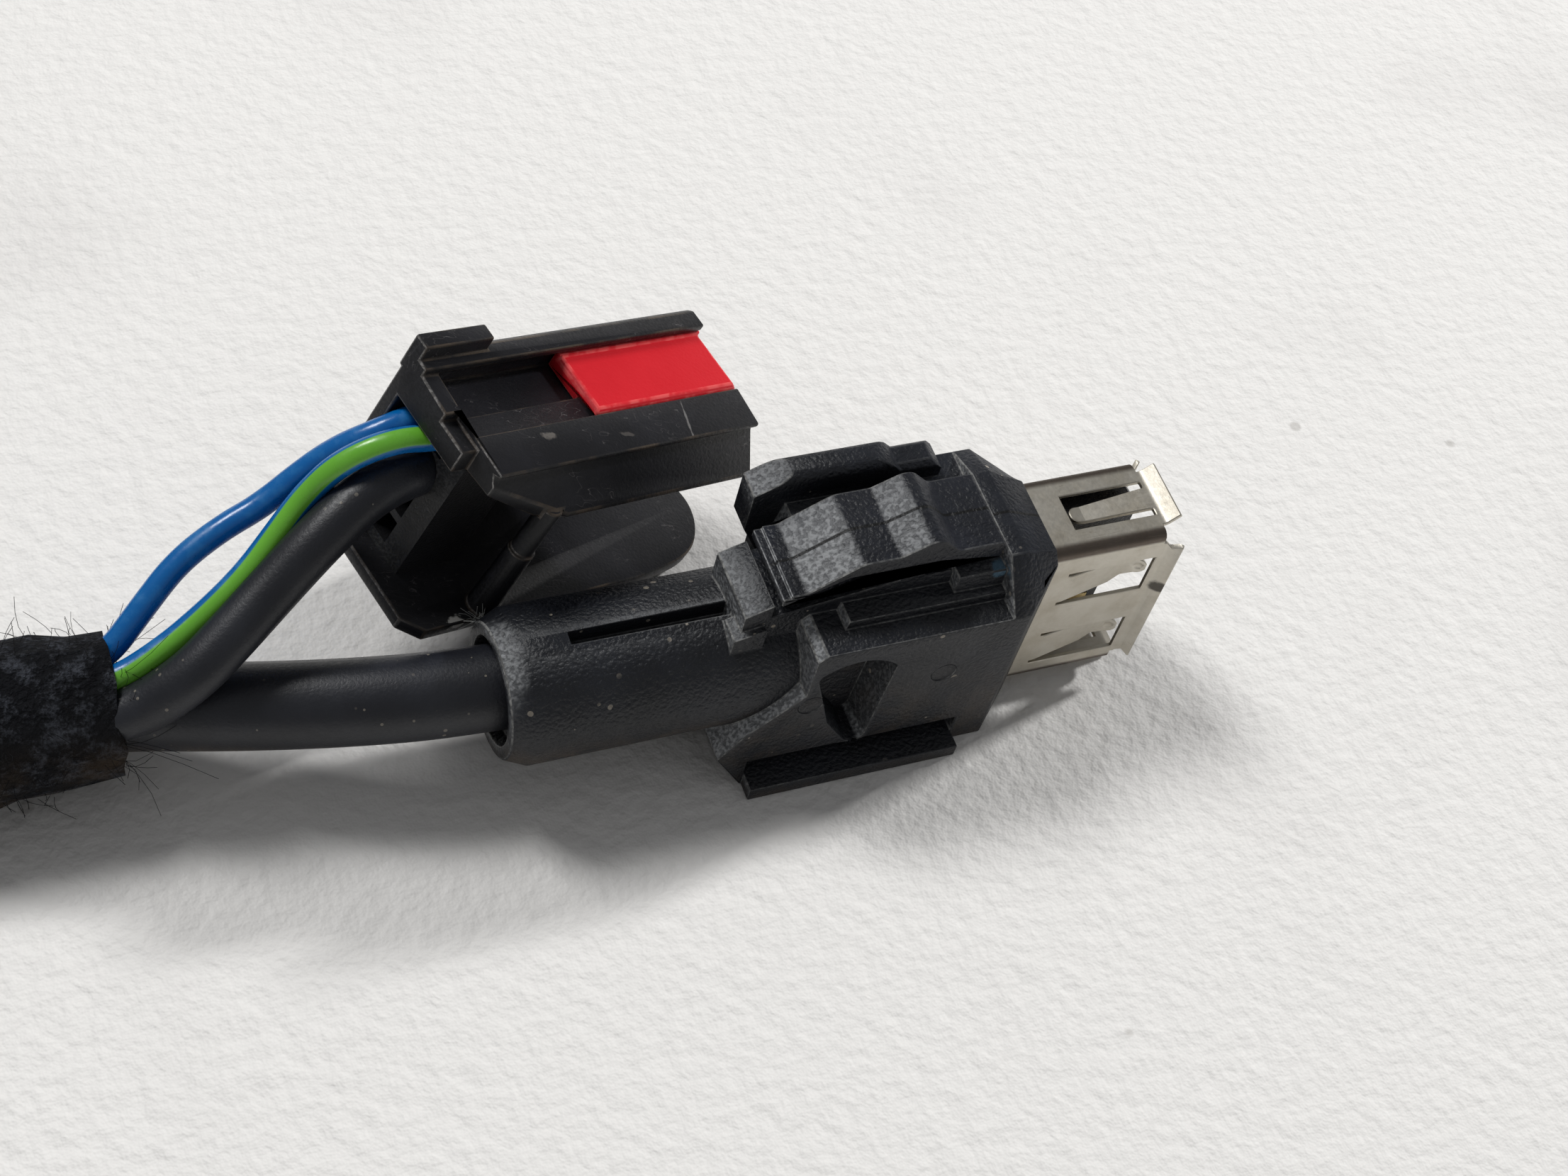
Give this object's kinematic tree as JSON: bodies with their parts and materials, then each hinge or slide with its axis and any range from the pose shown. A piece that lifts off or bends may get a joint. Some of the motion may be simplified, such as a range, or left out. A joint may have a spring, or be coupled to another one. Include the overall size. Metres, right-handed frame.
{
  "type": "car usb cable harness",
  "caption": "Short car console harness: USB-A socket with a latch lever and cable boot, a C-shaped module connector with a red slide, taped bundle coiled to a far plug.",
  "frame": {"origin": "centre of the USB socket's mouth", "axes": "+X the way the USB plug leaves the socket, +Z the latch side, +Y away from the near side of the cable"},
  "size_m": [0.1892, 0.1316, 0.0232],
  "materials": {
    "black_plastic": "moulded, worn",
    "red_plastic": "satin",
    "nickel": "tarnished nickel",
    "contact_metal": "plated",
    "black_jacket": "smooth",
    "blue_insulation": "smooth",
    "tape_fleece": "fleece tape"
  },
  "bodies": {
    "harness": {"usb_shell": "nickel", "usb_insulator": "black_plastic", "usb_contact_1": "contact_metal", "usb_contact_2": "contact_metal", "usb_contact_3": "contact_metal", "usb_contact_4": "contact_metal", "usb_housing": "black_plastic", "module_housing": "black_plastic", "module_terminal_block": "black_plastic", "module_terminal_1": "contact_metal", "module_terminal_2": "contact_metal", "cable_ferrule": "contact_metal", "usb_cable": "black_jacket", "thin_cable": "black_jacket", "wire_blue": "blue_insulation", "wire_blue_green": "blue_insulation", "tape_end": "tape_fleece", "harness_bundle": "tape_fleece", "harness_coil": "tape_fleece", "coil_tie": "black_plastic", "harness_tail": "tape_fleece", "far_housing": "black_plastic", "far_insert": "black_plastic", "far_contacts": "contact_metal"},
    "red_slide": {"red_slide": "red_plastic"},
    "usb_latch": {"usb_latch": "black_plastic"}
  },
  "joints": [
    {"name": "latch_rock", "type": "hinge", "parent": "harness", "child": "usb_latch", "pos_m": [-0.0178, 0, 0.0065], "axis": [0, -1, 0], "range_deg": [0, 6], "stiffness_Nm_per_rad": 0.02},
    {"name": "slide_travel", "type": "slide", "parent": "harness", "child": "red_slide", "axis": [-0.8949, -0.282, 0.346], "range_m": [0, 0.004]}
  ]
}
